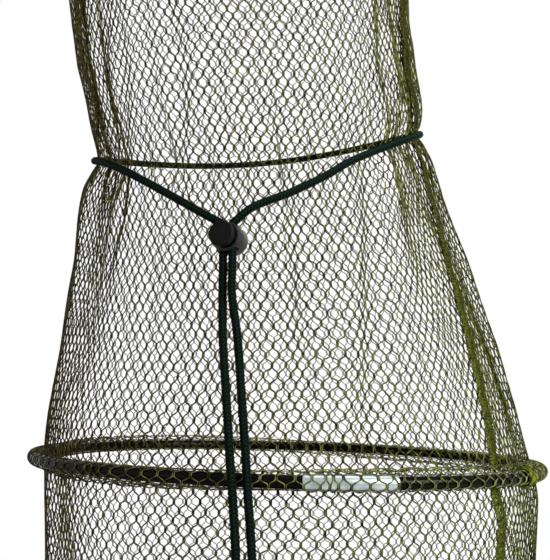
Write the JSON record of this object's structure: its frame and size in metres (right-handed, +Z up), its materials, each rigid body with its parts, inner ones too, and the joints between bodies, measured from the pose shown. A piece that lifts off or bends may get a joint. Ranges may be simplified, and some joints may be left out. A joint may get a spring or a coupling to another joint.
{
  "type": "keep net",
  "caption": "Tube of fine netting held open by round hoops and drawn in at the neck by a corded lock, hung in the water from a bank stick to keep caught fish.",
  "frame": {"origin": "centre of the stud's collar underside, where the top of a bank stick seats, behind the mouth hoop", "axes": "+Z up along the stud; -Y is the front with the cord lock; +X is to the right seen from the front"},
  "size_m": [0.3563, 0.362, 0.969],
  "materials": {
    "netting": "knotless olive-green net",
    "seam": "overlocked bright green thread",
    "cord": "braided dark green and black",
    "rod": "gloss black",
    "aluminium": "plain drawn tube",
    "moulding": "matt black",
    "brass": "turned",
    "steel": "plain"
  },
  "bodies": {
    "mouth": {"mouth_hoop_rod": "rod", "mouth_sleeve": "netting", "stand_stud": "brass", "stand_block": "moulding", "block_cap": "moulding", "block_screw_upper": "steel", "block_screw_lower": "steel", "net_neck": "netting", "seam_neck": "seam"},
    "neck_tie": {"drawstring_loop": "cord", "drawstring_tail_left": "cord", "drawstring_tail_right": "cord", "net_shoulder": "netting", "seam_shoulder": "seam"},
    "cord_lock": {"cord_lock_body": "moulding", "cord_lock_spring": "steel"},
    "lock_button": {"cord_lock_plunger": "moulding"},
    "hoop_1": {"hoop_1_rod": "rod", "hoop_1_ferrule": "aluminium", "hoop_1_sleeve": "netting", "net_upper": "netting", "seam_upper": "seam", "tail_knot_left": "cord", "tail_knot_right": "cord"},
    "hoop_2": {"hoop_2_rod": "rod", "hoop_2_ferrule": "aluminium", "hoop_2_sleeve": "netting", "net_lower": "netting", "seam_lower": "seam"},
    "hoop_3": {"hoop_3_rod": "rod", "hoop_3_ferrule": "aluminium", "hoop_3_sleeve": "netting", "net_base": "netting"}
  },
  "joints": [
    {"name": "neck_rise", "type": "slide", "parent": "mouth", "child": "neck_tie", "axis": [0, 0, 1], "range_m": [0, 0.16], "deforming": ["net_neck", "seam_neck"]},
    {"name": "hoop_1_rise", "type": "slide", "parent": "neck_tie", "child": "hoop_1", "axis": [0, 0, 1], "range_m": [0, 0.085], "deforming": ["net_shoulder", "seam_shoulder", "drawstring_tail_left", "drawstring_tail_right"]},
    {"name": "hoop_2_rise", "type": "slide", "parent": "hoop_1", "child": "hoop_2", "axis": [0, 0, 1], "range_m": [0, 0.235], "deforming": ["net_upper", "seam_upper"]},
    {"name": "hoop_3_rise", "type": "slide", "parent": "hoop_2", "child": "hoop_3", "axis": [0, 0, 1], "range_m": [0, 0.24], "deforming": ["net_lower", "seam_lower"]},
    {"name": "lock_slide", "type": "slide", "parent": "neck_tie", "child": "cord_lock", "axis": [0, -0.1392, -0.9903], "range_m": [0, 0.025]},
    {"name": "button_press", "type": "slide", "parent": "cord_lock", "child": "lock_button", "axis": [0.3746, 0.9182, -0.129], "range_m": [0, 0.0025], "stiffness_N_per_m": 800, "springref_m": -0.002, "deforming": ["cord_lock_spring"]}
  ]
}
